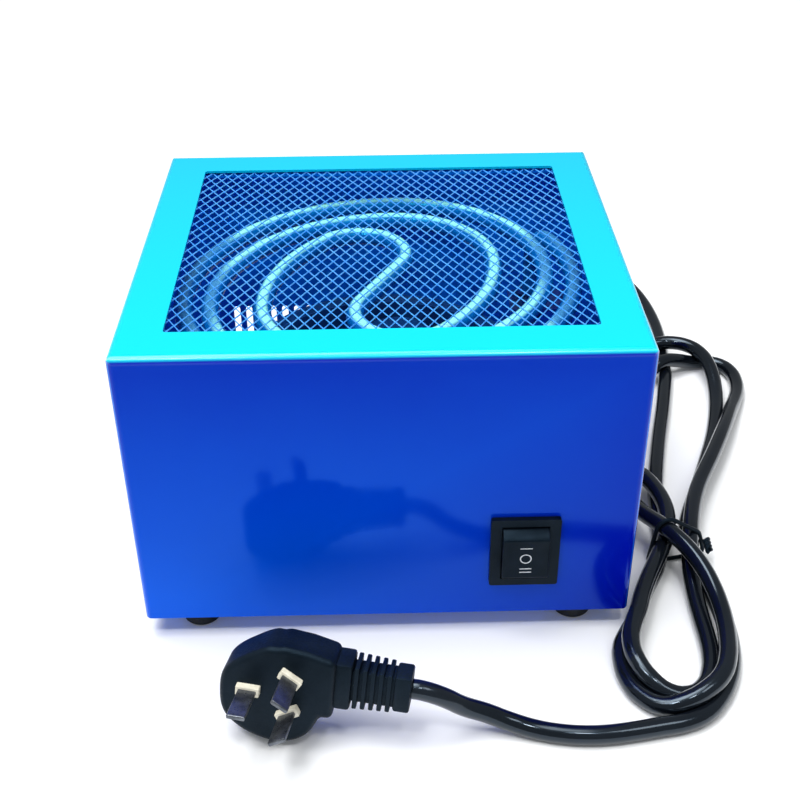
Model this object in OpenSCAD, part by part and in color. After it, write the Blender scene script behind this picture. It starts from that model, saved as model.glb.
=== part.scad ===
/* [Case] */
// Width of the case, left to right
case_w = 184; // [178:1:200]
// Depth of the case, front to back
case_d = 171; // [166:1:190]
// Height of the case without its feet
case_h = 116; // [112:1:135]
// Thickness of the sheet steel
sheet = 1; // [0.8:0.1:1.5]
// Outer radius of the case's folds and corners
fold_r = 2.5; // [2:0.5:4]
// Width of the top's border round the opening
border = 17; // [15:1:22]
// Running gap between the cover's walls and the base tray
tray_gap = 0.3; // [0.2:0.1:0.6]
// Height of the base tray's upturned flanges
flange_h = 10; // [9:1:14]

/* [Feet] */
// Height of a rubber foot
foot_h = 10; // [8:1:14]
// Diameter of a foot where it meets the case
foot_d = 18; // [16:1:20]
// Distance of a foot's centre from the case's side wall
foot_in_x = 19.5; // [14:0.5:24]
// Distance of a foot's centre from the front or back wall
foot_in_y = 13; // [12:0.5:20]

/* [Mesh] */
// Short pitch of the mesh's diamonds, across the case
mesh_short = 4.5; // [4:0.1:7]
// Long pitch of the mesh's diamonds, front to back
mesh_long = 7.7; // [7:0.1:10]
// Width of one mesh strand
strand_w = 0.8; // [0.6:0.1:1.2]
// Thickness of one layer of strands
strand_t = 0.6; // [0.4:0.1:0.8]
// Width of the frame that clamps the mesh
clamp_w = 9; // [7:0.5:11]
// Thickness of the frame that clamps the mesh
clamp_t = 1.2; // [1:0.1:2]

/* [Heater] */
// Diameter of the heating tube
tube_d = 7; // [6:0.5:8]
// Depth of the tube's centre below the top face
tube_depth = 20; // [18:0.5:24]
// Length of the heating tube's two legs, bend included
leg_drop = 42; // [36:1:46]
// Outer diameter of the threaded bush on a leg
bush_d = 12; // [11:0.5:14]
// Width of a heater bracket
bracket_w = 18; // [16:1:20]
// Thickness of a heater bracket's sheet
bracket_t = 1.2; // [1:0.1:1.5]

/* [Fan] */
// Bore of the fan's round duct
duct_d = 108; // [100:1:110]
// Wall of the fan's duct
duct_wall = 4; // [3:0.5:5]
// Height of the fan's frame
fan_h = 38; // [34:1:40]
// Distance between the fan's fixing holes
fan_pitch = 105; // [103:0.5:108]
// Height of the posts under the fan
post_h = 21; // [18:1:24]
// Diameter of the rotor's hub
hub_d = 48; // [44:1:52]
// Number of fan blades
blades = 7; // [5:1:9]
// Gap between the blade tips and the duct
tip_gap = 1; // [0.8:0.1:2]
// Diameter of the rotor's shaft
shaft_d = 4; // [3:0.5:5]
// Radial running clearance of shafts and pins
running = 0.05; // [0.02:0.01:0.08]

/* [Switch] */
// Width of the switch's bezel
bezel_w = 25.5; // [24:0.5:28]
// Height of the switch's bezel
bezel_h = 31; // [30:0.5:34]
// Thickness of the bezel in front of the panel
bezel_t = 2; // [1.5:0.1:2.5]
// Distance of the switch's centre from the middle of the panel
switch_x = 50.8; // [45:0.1:56]
// Height of the switch's centre above the case's bottom
switch_up = 30.6; // [28:0.1:50]
// Tilt of the rocker to either side of its off position
rocker_tilt = 12; // [8:1:14]

/* [Vents] */
// Width of a vent slot in the back wall
slot_w = 3; // [2:0.1:3.5]
// Distance between the vent slots
slot_pitch = 5.75; // [5:0.05:7]
// Height of the lowest end of the slots above the case's bottom
slot_low = 14; // [12:1:20]
// Length of a vent slot
slot_len = 26; // [20:1:40]
// Number of vent slots
slots = 12; // [6:1:12]

/* [Mains lead] */
// Diameter of the mains cord
cord_d = 7; // [6.5:0.5:8]
// Diameter of the plug's round body
plug_d = 37; // [35:1:39]
// Thickness of the plug's body
plug_t = 16; // [15:0.5:18]

/* [Hidden] */
$fn = 64;
eps = 1;                                // how far a cutter runs past the face it cuts
seat = 0.02;                            // gap between pieces that touch

// the case, with the origin under the middle of the part
rocker_proud = 4;
mid_y = rocker_proud / 2;               // the rocker stands out in front, so the case sits back
front_y = mid_y - case_d / 2;
back_y = mid_y + case_d / 2;
case_low = foot_h;
case_top = foot_h + case_h;
tray_top = case_low + sheet;            // the surface that the inner parts stand on
inner_x = case_w / 2 - sheet;
open_w = case_w - 2 * border;
open_d = case_d - 2 * border;

// fasteners: M3 and M4 pan heads, hexagon nuts
m3 = 3;
m4 = 4;
screw_play = 0.1;                       // radial play of a screw in its hole
m3_hole = m3 + 2 * screw_play;
m4_hole = m4 + 2 * screw_play;

foot_x = case_w / 2 - foot_in_x;
foot_y = case_d / 2 - foot_in_y;
foot_low_d = foot_d - 3;
foot_round = 1.5;
foot_pocket_d = 9;
foot_floor = foot_h - 4;                // height of the pocket's ceiling, where the screw's head sits
cover_screw_y = case_d / 2 - 28;
cover_screw_z = case_low + flange_h / 2 + sheet / 2;

// the mesh lies in two crossed layers of strands under the top sheet
mesh_w = open_w + 2 * clamp_w - 6;
mesh_d = open_d + 2 * clamp_w - 6;
mesh_top = case_top - sheet - seat;
clamp_top = mesh_top - 2 * strand_t - 2 * seat;
stud_x = open_w / 2 + clamp_w - 2.5;
stud_y = open_d / 2 + clamp_w - 2.5;
strand_angle = atan2(mesh_long, mesh_short);
strand_step = mesh_short * sin(strand_angle);

// the tube's spiral: one arm as bends of [radius, angle], the other is the same turned half round
tube_z = case_top - tube_depth;
arm_heading = 62;
arm_straight = 17;
arm_bends = [[19.5, 163], [78, 45], [41, 90], [71, 90], [61, 90], [82, 90], [66, 25]];
leg_bend_r = 12;
tube_sides = 12;
function bend_centre(p, h, r) = p + r * [-sin(h), cos(h)];
function after_bend(p, h, b) = bend_centre(p, h, b[0]) + b[0] * [sin(h + b[1]), -cos(h + b[1])];
function arm_start(i) = i == 0 ? arm_straight * [cos(arm_heading), sin(arm_heading)]
  : after_bend(arm_start(i - 1), arm_angle(i - 1), arm_bends[i - 1]);
function arm_angle(i) = i == 0 ? arm_heading : arm_angle(i - 1) + arm_bends[i - 1][1];
arm_end = arm_start(len(arm_bends));
arm_end_heading = arm_angle(len(arm_bends));
leg = arm_end + leg_bend_r * [cos(arm_end_heading), sin(arm_end_heading)];
leg_low = tube_z - leg_drop;

// the heater's brackets stand on the tray beside the fan
shelf_z = leg_low + 8;                  // top face of the bracket's shelf
bush_h = 12;
bush_low = shelf_z - 7;
collar_d = 16;                          // hexagon of the bush above the shelf
web_in = inner_x - 7;                   // outer face of the bracket's upright
bracket_foot = 14;
bracket_screw_x = web_in - bracket_t - 7;
cutout_z = tray_top + 24;

fan_low = tray_top + post_h;
fan_top = fan_low + fan_h;
duct_out = duct_d / 2 + duct_wall;
ear_r = 6.5;
ear_t = 4;
ear_reach = fan_pitch / 2;
rotor_low = fan_low + 8;
rotor_top = fan_top - 2;
motor_d = hub_d - 8;
motor_top = rotor_top - 7;
hub_wall = 2.5;
blade_t = 1.8;
blade_camber_r = 34;
blade_pitch = 38;
post_d = 8;

// the switch snaps into the front panel from outside
switch_z = case_low + switch_up;
body_w = bezel_w - 3.9;
body_h = bezel_h - 3.4;
cutout_play = 0.2;
switch_depth = 18;
rocker_w = 17;
rocker_r = 12.1;
window_play = 0.2;
pivot_in = 2.5;                         // the rocker's axis behind the panel's face
pivot_y = front_y + pivot_in;
trunnion_d = 3.2;
trunnion_l = 1.2;
blade_len = 6;

slot_first_x = -(slots - 1) * slot_pitch - slot_pitch;
block_w = 32;
block_d = 14;
block_h = 15;
block_y = front_y + sheet + 10;
stud_at_x = -34;

// the cord: its gland, and the points that it lies on, chosen by hand
gland_x = 45;
gland_z = 34;
gland_len = 26.5;
gland_hole_d = 12.4;
cord_sides = 10;
bore_play = 0.05;
lead_route = [
  [45, 74, 34], [45, 94, 34], [45, 114, 34], [47, 134, 33], [54, 154, 30], [67, 173, 26],
  [85, 188, 21], [108, 197, 15], [129, 192, 10], [141, 176, 6], [146, 156, 4], [147, 136, 3.5],
  [146, 122, 3.5]
];
tail_route = [
  [96, -138, 3.6], [85, -140, 3.5], [74, -140, 3.5], [62, -138, 3.5], [50, -134, 3.6], [40, -130, 4.5],
  [31, -128.5, 7], [24, -129, 10], [17, -131.5, 13], [10, -134, 16], [5, -133.5, 17]
];
hank_h = 22;
hank_low = 0.6;
hank_near = [108, -106];                // middle of the loop in front
hank_near_r = 24;
hank_waist = [118, -52];                // where the tie holds the turns
hank_waist_r = 12;
hank_far = [140, 78];                   // middle of the loops behind
hank_far_r = 36;
tie_w = 2.4;
tie_t = 1.2;
tie_gap = 0.4;
tie_turn = 10;

// the plug: its face's centre, and how it leans
plug_at = [-38, -133, 20];
plug_yaw = -12;
plug_lean = -6;
plug_roll = 3;
plug_off = -2.5;                        // the round body's centre from the pins' centre
earth_r = 10.31;
live_x = 3.96;
live_z = 6.86;
pin_w = 6.35;
pin_t = 1.6;
relief_y = 8.5;                         // middle of the cord's relief behind the face
relief_end = 46.5;

// ---------- shapes that several pieces use ----------

module round_rect(w, h, r) {
  square([w - 2 * r, h], center = true);
  square([w, h - 2 * r], center = true);
  for (x = [-1, 1], y = [-1, 1]) translate([x * (w / 2 - r), y * (h / 2 - r)]) circle(r);
}

// an arch of that width whose two top corners are round
module arch(w, low, high, r) {
  translate([-w / 2, low]) square([w, high - r - low]);
  translate([-w / 2 + r, low]) square([w - 2 * r, high - low]);
  for (x = [-1, 1]) translate([x * (w / 2 - r), high - r]) circle(r);
}

// the case's block, drawn in by t on every side and open past its bottom
module case_block(t, low) {
  r = fold_r - t;
  w = case_w - 2 * t;
  d = case_d - 2 * t;
  high = case_top - t;
  translate([0, mid_y, 0]) intersection() {
    rotate([90, 0, 0]) linear_extrude(d, center = true) arch(w, low, high, r);
    rotate([90, 0, 90]) linear_extrude(w, center = true) arch(d, low, high, r);
    translate([0, 0, low]) linear_extrude(high - low) round_rect(w, d, r);
  }
}

// a pan-head screw: its head sits on z = 0 and its shank runs down
module pan_screw(d, length) {
  head_r = d * 0.95;
  head_h = d * 0.6;
  translate([0, 0, -length]) cylinder(d = d, h = length);
  difference() {
    intersection() {
      cylinder(r = head_r, h = head_h);
      translate([0, 0, head_h - 2 * head_r]) sphere(2 * head_r);
    }
    for (a = [0, 90]) rotate(a) translate([0, 0, head_h])
      cube([d * 0.95, d * 0.2, d * 0.5], center = true);
  }
}

module hex_nut(d) {
  difference() {
    cylinder(d = d * 2, h = d * 0.8, $fn = 6);
    translate([0, 0, -eps]) cylinder(d = d + 2 * screw_play, h = d + 2 * eps);
  }
}

module at_corners(x, y) {
  for (i = [-1, 1], j = [-1, 1]) translate([i * x, mid_y + j * y, 0]) children();
}

// a closed skin through rings of points, each ring in one plane and all of one count
module swept(rings) {
  n = len(rings[0]);
  last = len(rings) - 1;
  polyhedron(
    points = [for (r = rings) each r],
    faces = [
      [for (k = [0:n - 1]) n - 1 - k],
      [for (k = [0:n - 1]) last * n + k],
      for (i = [0:last - 1], k = [0:n - 1]) let (m = (k + 1) % n)
        [i * n + k, i * n + m, (i + 1) * n + m, (i + 1) * n + k]
    ]
  );
}

// both heater legs: the second is the first turned half round
module at_legs() {
  for (a = [0, 180]) translate([0, mid_y, 0]) rotate(a) translate([leg[0], leg[1], 0]) children();
}

// ---------- case ----------

module cover() {
  color("royalblue") difference() {
    case_block(0, case_low);
    case_block(sheet, case_low - eps);
    translate([0, mid_y, case_top - sheet - eps])
      linear_extrude(sheet + 2 * eps) round_rect(open_w, open_d, fold_r / 2);
    translate([switch_x, front_y, switch_z])
      cube([body_w + 2 * cutout_play, 4 * sheet, body_h + 2 * cutout_play], center = true);
    for (i = [0:slots - 1]) translate([slot_first_x + i * slot_pitch, back_y, case_low + slot_low])
      vent_slot();
    translate([gland_x, back_y - 2 * sheet, gland_z]) rotate([-90, 0, 0])
      cylinder(d = gland_hole_d, h = 4 * sheet);
    for (j = [-1, 1]) translate([0, mid_y + j * cover_screw_y, cover_screw_z]) rotate([0, 90, 0])
      cylinder(d = m3_hole, h = case_w + 2 * eps, center = true);
  }
  color("royalblue") at_corners(stud_x, stud_y) translate([0, 0, clamp_top - clamp_t - 4])
    cylinder(d = m3, h = case_top - sheet - clamp_top + clamp_t + 4);
}

module vent_slot() {
  straight = slot_len - slot_w;
  translate([-slot_w / 2, -2 * sheet, slot_w / 2]) cube([slot_w, 3 * sheet, straight]);
  for (z = [0, straight]) translate([0, -2 * sheet, z + slot_w / 2]) rotate([-90, 0, 0])
    cylinder(d = slot_w, h = 3 * sheet);
}

module base_tray() {
  gap = sheet + tray_gap;
  w = case_w - 2 * gap;
  d = case_d - 2 * gap;
  r = fold_r - sheet;
  color("royalblue") translate([0, mid_y, 0]) difference() {
    translate([0, 0, case_low]) linear_extrude(flange_h) round_rect(w, d, r);
    translate([0, 0, tray_top]) linear_extrude(flange_h)
      round_rect(w - 2 * sheet, d - 2 * sheet, r - sheet / 2);
    for (i = [-1, 1], j = [-1, 1]) {
      translate([i * foot_x, j * foot_y, 0]) cylinder(d = m4_hole, h = case_top);
      translate([i * ear_reach, j * ear_reach, 0]) cylinder(d = m4_hole, h = case_top);
    }
    for (j = [-1, 1]) translate([0, j * cover_screw_y, cover_screw_z]) rotate([0, 90, 0])
      cylinder(d = m3_hole, h = case_w, center = true);
    for (i = [-1, 1], j = [-1, 1])
      translate([i * bracket_screw_x, i * -leg[1] + j * bracket_w / 4, 0])
        cylinder(d = m3_hole, h = case_top);
    translate([stud_at_x, block_y - mid_y, 0]) cylinder(d = m4_hole, h = case_top);
    translate([0, block_y - mid_y, 0]) cylinder(d = m3_hole, h = case_top);
  }
}

module feet() {
  color([0.06, 0.06, 0.07]) at_corners(foot_x, foot_y) rotate_extrude() difference() {
    union() {
      polygon([
        [0, foot_round], [foot_low_d / 2, foot_round], [foot_d / 2, foot_h], [0, foot_h]
      ]);
      square([foot_low_d / 2 - foot_round, foot_h]);
      translate([foot_low_d / 2 - foot_round, foot_round]) circle(foot_round);
    }
    translate([-foot_d, -eps]) square([foot_d + foot_pocket_d / 2, foot_floor + eps]);
    translate([-foot_d, -eps]) square([foot_d + m4_hole / 2, foot_h + 2 * eps]);
  }
}

module foot_screws() {
  color("silver") at_corners(foot_x, foot_y) translate([0, 0, foot_floor]) mirror([0, 0, 1])
    pan_screw(m4, tray_top - foot_floor + m4 * 0.8 + 1);
}

module foot_nuts() {
  color("silver") at_corners(foot_x, foot_y) translate([0, 0, tray_top]) hex_nut(m4);
}

module cover_screws() {
  reach = sheet * 2 + tray_gap + 4;
  color("silver") for (i = [-1, 1], j = [-1, 1])
    translate([i * case_w / 2, mid_y + j * cover_screw_y, cover_screw_z]) rotate([0, i * 90, 0])
      pan_screw(m3, reach);
}

// ---------- mesh ----------

// one layer: parallel flat strands at that angle, cut to the mesh's outline
module strand_layer(angle) {
  half = (mesh_w + mesh_d) / 2;
  count = floor(half / strand_step);
  intersection() {
    translate([-mesh_w / 2, -mesh_d / 2, 0]) cube([mesh_w, mesh_d, strand_t]);
    rotate(angle) for (i = [-count:count]) translate([-half, (i + 0.5) * strand_step - strand_w / 2, 0])
      cube([2 * half, strand_w, strand_t]);
  }
}

module mesh_screen() {
  color("lightskyblue") translate([0, mid_y, mesh_top - strand_t]) {
    difference() {
      strand_layer(strand_angle);
      stud_holes();
    }
    translate([0, 0, -strand_t - seat]) difference() {
      strand_layer(-strand_angle);
      stud_holes();
    }
  }
}

module stud_holes() {
  for (i = [-1, 1], j = [-1, 1]) translate([i * stud_x, j * stud_y, -eps])
    cylinder(d = m3 + 1, h = strand_t + 2 * eps);
}

module mesh_clamp_frame() {
  color("steelblue") difference() {
    translate([0, mid_y, clamp_top - clamp_t]) linear_extrude(clamp_t) difference() {
      round_rect(open_w + 2 * clamp_w, open_d + 2 * clamp_w, fold_r);
      square([open_w + 2, open_d + 2], center = true);
    }
    at_corners(stud_x, stud_y) translate([0, 0, clamp_top - clamp_t - eps])
      cylinder(d = m3_hole, h = clamp_t + 2 * eps);
  }
}

module clamp_nuts() {
  color("silver") at_corners(stud_x, stud_y)
    translate([0, 0, clamp_top - clamp_t - seat - m3 * 0.8]) hex_nut(m3);
}

// ---------- heater ----------

// a ring of points round the tube's centre line, which runs along heading h and falls by that angle;
// hand is -1 where the line is followed backwards
function tube_ring(p, h, fall, hand) = [for (k = [0:tube_sides - 1]) let (a = k * 360 / tube_sides)
  p + tube_d / 2 * (hand * cos(a) * [sin(h), -cos(h), 0]
    + sin(a) * [cos(h) * sin(fall), sin(h) * sin(fall), cos(fall)])];
function bend_steps(b) = ceil(max(b[1] / 12, b[0] * b[1] / 600));
function arm_rings(hand) = [
  for (i = [0:len(arm_bends) - 1]) let (b = arm_bends[i], n = bend_steps(b))
    for (j = [0:n - 1]) let (turn = j * b[1] / n, c = after_bend(arm_start(i), arm_angle(i), [b[0], turn]))
      tube_ring([c[0], c[1], 0], arm_angle(i) + turn, 0, hand),
  for (fall = [0:15:90]) let (c = arm_end + (leg - arm_end) * sin(fall))
    tube_ring([c[0], c[1], -leg_bend_r * (1 - cos(fall))], arm_end_heading, fall, hand),
  tube_ring([leg[0], leg[1], -leg_drop], arm_end_heading, 90, hand)
];
function turned_half_round(points) = [for (q = points) [-q[0], -q[1], q[2]]];

module heating_tube() {
  back = arm_rings(-1);
  last = len(back) - 1;
  color("lightcyan") translate([0, mid_y, tube_z]) swept(concat(
    [for (i = [0:last]) turned_half_round(back[last - i])],
    arm_rings(1)
  ));
}

module tube_bushes() {
  color("darkkhaki") at_legs() difference() {
    union() {
      translate([0, 0, bush_low]) cylinder(d = bush_d, h = shelf_z + 5 - bush_low);
      translate([0, 0, shelf_z]) cylinder(d = collar_d, h = 3, $fn = 6);
    }
    translate([0, 0, bush_low - eps])
      cylinder(d = tube_d + 2 * seat, h = shelf_z + 5 - bush_low + 2 * eps);
  }
}

module bush_nuts() {
  nut_h = 3.5;
  color("silver") at_legs() translate([0, 0, shelf_z - bracket_t - nut_h]) difference() {
    cylinder(d = collar_d, h = nut_h, $fn = 6);
    translate([0, 0, -eps]) cylinder(d = bush_d + 2 * screw_play, h = nut_h + 2 * eps);
  }
}

// the bracket for the leg on the left: a foot on the tray, an upright and a shelf with the bush's hole
module heater_bracket() {
  shelf_in = leg[0] + collar_d / 2 + 1;
  out = -web_in;
  translate([0, leg[1] + mid_y, 0]) difference() {
    union() {
      translate([out, -bracket_w / 2, tray_top]) cube([bracket_t, bracket_w, shelf_z - tray_top]);
      translate([out, -bracket_w / 2, tray_top]) cube([bracket_foot, bracket_w, bracket_t]);
      translate([out, -bracket_w / 2, shelf_z - bracket_t])
        cube([shelf_in - out, bracket_w, bracket_t]);
    }
    translate([leg[0], 0, shelf_z - bracket_t - eps])
      cylinder(d = bush_d + 2 * screw_play, h = bracket_t + 2 * eps);
    for (j = [-1, 1]) translate([-bracket_screw_x, j * bracket_w / 4, tray_top - eps])
      cylinder(d = m3_hole, h = bracket_t + 2 * eps);
  }
}

module heater_bracket_left() {
  color("slategray") heater_bracket();
}

module heater_bracket_right() {
  color("slategray") translate([0, mid_y, 0]) rotate(180) translate([0, -mid_y, 0]) heater_bracket();
}

module bracket_screws() {
  color("silver") for (i = [-1, 1], j = [-1, 1])
    translate([i * bracket_screw_x, mid_y - i * leg[1] + j * bracket_w / 4, tray_top + bracket_t])
      pan_screw(m3, bracket_t + sheet + m3 * 0.8 + 1);
}

module bracket_nuts() {
  color("silver") for (i = [-1, 1], j = [-1, 1])
    translate([i * bracket_screw_x, mid_y - i * leg[1] + j * bracket_w / 4, case_low - m3 * 0.8])
      hex_nut(m3);
}

// ceramic beads close the tube's two ends
module terminal_ceramics() {
  color("ivory") at_legs() difference() {
    union() {
      translate([0, 0, leg_low - 5]) cylinder(d = tube_d - 0.5, h = 5);
      translate([0, 0, leg_low - 7]) cylinder(d = tube_d - 2, h = 7);
    }
    translate([0, 0, leg_low - 8]) cylinder(d = 2.4 + 2 * seat, h = 9);
  }
}

module terminal_pins() {
  color("silver") at_legs() {
    translate([0, 0, leg_low - 14]) cylinder(d = 2.4, h = 14);
    translate([-3.15, -0.4, leg_low - 21]) cube([6.3, 0.8, 7]);
  }
}

// a bimetal disc on the right bracket's upright, which opens the heater's circuit if the fan stops
module thermal_cutout() {
  disc_d = 16;
  color([0.15, 0.15, 0.16])
    translate([web_in - bracket_t, mid_y - leg[1], cutout_z]) rotate([0, -90, 0]) {
      cylinder(d = disc_d, h = 6);
      cylinder(d = disc_d - 3, h = 9);
      for (y = [-4, 4]) translate([-3.15, y - 0.4, 9]) cube([6.3, 0.8, 8]);
    }
}

// ---------- fan ----------

module fan_duct() {
  color([0.08, 0.08, 0.09]) translate([0, mid_y, fan_low]) {
    difference() {
      union() {
        cylinder(r = duct_out, h = fan_h, $fn = 96);
        for (a = [45:90:315]) rotate(a) {
          translate([0, -ear_r, 0]) cube([ear_reach * sqrt(2), 2 * ear_r, ear_t]);
          translate([ear_reach * sqrt(2), 0, 0]) cylinder(r = ear_r, h = ear_t);
        }
      }
      translate([0, 0, -eps]) cylinder(d = duct_d, h = fan_h + 2 * eps, $fn = 96);
      for (z = [-eps, fan_h - 2]) translate([0, 0, z]) rotate_extrude($fn = 96) polygon([
        [0, 0], [duct_d / 2 + (z < 0 ? 3 : 1), 0], [duct_d / 2 + (z < 0 ? 1 : 3), 2 + eps], [0, 2 + eps]
      ]);
      for (a = [45:90:315]) rotate(a) translate([ear_reach * sqrt(2), 0, -eps])
        cylinder(d = m4_hole, h = ear_t + 2 * eps);
    }
    cylinder(d = motor_d, h = 3);
    for (a = [0:90:270]) rotate(a) translate([motor_d / 2 - 2, -3, 0])
      cube([duct_d / 2 - motor_d / 2 + 2 + 2, 6, ear_t - 1]);
  }
}

// the stator stands on the duct's hub plate and carries the rotor's shaft in its bearing
module fan_motor() {
  color("dimgray") translate([0, mid_y, fan_low + 3]) difference() {
    union() {
      cylinder(d = motor_d - 4, h = 4);
      cylinder(d = hub_d - 2 * hub_wall - 5, h = motor_top - fan_low - 3);
    }
    translate([0, 0, 2]) cylinder(d = shaft_d + 2 * running, h = fan_h);
  }
}

// a cambered blade: a slice of a thin tube, set at its pitch and trimmed to the duct
module rotor_blade() {
  height = rotor_top - rotor_low - 4;
  span = duct_d / 2 - tip_gap;
  rotate([90, 0, 90]) linear_extrude(span) intersection() {
    rotate(-blade_pitch) translate([0, -blade_camber_r]) difference() {
      circle(blade_camber_r, $fn = 96);
      circle(blade_camber_r - blade_t, $fn = 96);
    }
    square([60, height], center = true);
    translate([-30, -blade_camber_r * 0.8]) square([60, 60]);
  }
}

module fan_rotor() {
  mid = (rotor_low + rotor_top) / 2;
  span = duct_d / 2 - tip_gap;
  color([0.1, 0.1, 0.11]) translate([0, mid_y, 0]) {
    difference() {
      union() {
        translate([0, 0, rotor_low]) cylinder(d = hub_d, h = rotor_top - rotor_low);
        intersection() {
          translate([0, 0, rotor_low]) difference() {
            cylinder(r = span, h = rotor_top - rotor_low, $fn = 96);
            translate([0, 0, -eps]) cylinder(d = hub_d - hub_wall, h = fan_h);
          }
          for (i = [0:blades - 1]) rotate(i * 360 / blades) translate([0, 0, mid]) rotor_blade();
        }
      }
      translate([0, 0, rotor_low - eps])
        cylinder(d = hub_d - 2 * hub_wall, h = motor_top + 1.5 - rotor_low + eps);
    }
    translate([0, 0, fan_low + 7]) cylinder(d = shaft_d, h = rotor_top - fan_low - 8);
  }
}

module fan_posts() {
  color("silver") at_corners(ear_reach, ear_reach) translate([0, 0, tray_top]) difference() {
    cylinder(d = post_d, h = post_h, $fn = 6);
    translate([0, 0, -eps]) cylinder(d = m4_hole, h = post_h + 2 * eps);
  }
}

module fan_screws() {
  color("silver") at_corners(ear_reach, ear_reach) translate([0, 0, fan_low + ear_t])
    pan_screw(m4, ear_t + 8);
}

module post_screws() {
  color("silver") at_corners(ear_reach, ear_reach) translate([0, 0, case_low]) mirror([0, 0, 1])
    pan_screw(m4, sheet + 8);
}

// ---------- switch ----------

module switch_housing() {
  window_h = 2 * (rocker_r + window_play);
  window_w = rocker_w + 2 * window_play;
  color([0.05, 0.05, 0.06]) translate([switch_x, front_y, switch_z]) difference() {
    union() {
      translate([0, -bezel_t, 0]) rotate([-90, 0, 0])
        linear_extrude(bezel_t) round_rect(bezel_w, bezel_h, 1);
      translate([-body_w / 2, 0, -body_h / 2]) cube([body_w, switch_depth, body_h]);
      for (s = [-1, 1]) translate([-4, sheet + 0.2, s * body_h / 2]) rotate([90, 0, 90])
        linear_extrude(8) polygon([[0, -s * 0.5], [0, s * 1.2], [8, 0], [8, -s * 0.5]]);
    }
    translate([-window_w / 2, -bezel_t - eps, -window_h / 2])
      cube([window_w, bezel_t + eps + 13, window_h]);
    translate([0, pivot_in, 0]) rotate([0, 90, 0])
      cylinder(d = trunnion_d + 2 * running, h = rocker_w + 2 * trunnion_l + 0.8, center = true);
  }
}

// two shallow faces that meet over the axis; the ends are arcs about it, so they keep their gap
module switch_rocker() {
  front = pivot_in + rocker_proud;
  valley = front - 2.6;
  end_z = sqrt(rocker_r * rocker_r - front * front);
  color([0.05, 0.05, 0.06]) translate([switch_x, pivot_y, switch_z]) {
    rotate([90, 0, 90]) linear_extrude(rocker_w, center = true) intersection() {
      circle(rocker_r, $fn = 96);
      polygon([
        [-front, end_z], [-valley, 1.2], [-valley, -1.2], [-front, -end_z],
        [-front, -rocker_r], [2.6, -rocker_r], [2.6, rocker_r], [-front, rocker_r]
      ]);
    }
    rotate([0, 90, 0]) cylinder(d = trunnion_d, h = rocker_w + 2 * trunnion_l, center = true);
  }
}

module switch_blades() {
  color("silver") for (x = [-5, 5], z = [-8, 0, 8])
    translate([switch_x + x - 0.4, front_y + switch_depth + seat, switch_z + z - 2.4])
      cube([0.8, blade_len, 4.8]);
}

// ---------- wiring ----------

module terminal_block() {
  way = block_w / 3;
  color("ivory") translate([0, block_y, tray_top]) difference() {
    union() {
      translate([-block_w / 2, -block_d / 2, 0]) cube([block_w, block_d, 4]);
      for (i = [-1:1]) translate([i * way, 0, 0])
        translate([-way / 2 + 0.6, -block_d / 2, 0]) cube([way - 1.2, block_d, block_h]);
    }
    for (i = [-1, 1]) {
      translate([i * way, 0, 7]) rotate([90, 0, 0]) cylinder(d = 4, h = block_d + 2, center = true);
      for (j = [-1, 1]) translate([i * way, j * 3.5, 7]) cylinder(d = m3_hole + 1, h = block_h);
    }
    translate([0, 0, -eps]) cylinder(d = m3_hole, h = block_h + 2);
    translate([0, 0, block_h - 3]) cylinder(d = 7, h = block_h);
  }
}

module block_screws() {
  color("silver") translate([0, block_y, tray_top + block_h - 3]) pan_screw(m3, block_h);
}

module earth_stud() {
  color("goldenrod") translate([stud_at_x, block_y, 0]) {
    translate([0, 0, case_low]) mirror([0, 0, 1]) pan_screw(m4, sheet + 10);
    translate([0, 0, tray_top + seat]) difference() {
      cylinder(d = m4 * 2.2, h = 1);
      translate([0, 0, -eps]) cylinder(d = m4_hole, h = 4);
    }
    translate([0, 0, tray_top + 1 + 2 * seat]) hex_nut(m4);
  }
}

// ---------- mains lead ----------

// a tapered, ribbed relief outside the wall and a short neck through it
module cord_gland() {
  bore_r = cord_d / 2 + bore_play;
  neck_r = gland_hole_d / 2 - screw_play;
  rib = 2.2;
  color([0.07, 0.07, 0.08]) translate([gland_x, back_y, gland_z]) rotate([-90, 0, 0])
    rotate_extrude() difference() {
      union() {
        polygon([[bore_r, 0], [neck_r + 1, 0], [cord_d / 2 + 1.1, gland_len], [bore_r, gland_len]]);
        translate([bore_r, -7]) square([neck_r - bore_r, 8]);
        translate([bore_r, 0]) square([neck_r + 2.2 - bore_r, 2.5]);
      }
      for (i = [1:4]) translate([neck_r - 0.1 - i * 0.28, 2 * rib * i]) square([4, rib]);
    }
}

module gland_nut() {
  color([0.07, 0.07, 0.08]) translate([gland_x, back_y - sheet - 3.5, gland_z]) rotate([-90, 0, 0])
    difference() {
      cylinder(d = gland_hole_d + 6, h = 3.5, $fn = 6);
      translate([0, 0, -eps]) cylinder(d = gland_hole_d, h = 6);
    }
}

// a tube swept along the points, with one ring at each
function unit(v) = v / norm(v);
function along(p, i) = unit(p[min(i + 1, len(p) - 1)] - p[max(i - 1, 0)]);
function ring(p, i, r) =
  let (t = along(p, i), s = unit(cross(t, [0, 0, 1])), u = cross(s, t))
  [for (k = [0:cord_sides - 1]) let (a = k * 360 / cord_sides)
    p[i] + r * (cos(a) * s + sin(a) * u)];
module cord_tube(p) {
  swept([for (i = [0:len(p) - 1]) ring(p, i, cord_d / 2)]);
}

module cord_lead() {
  color([0.04, 0.04, 0.05]) cord_tube(lead_route);
}

module cord_tail() {
  color([0.04, 0.04, 0.05]) cord_tube(tail_route);
}

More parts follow.
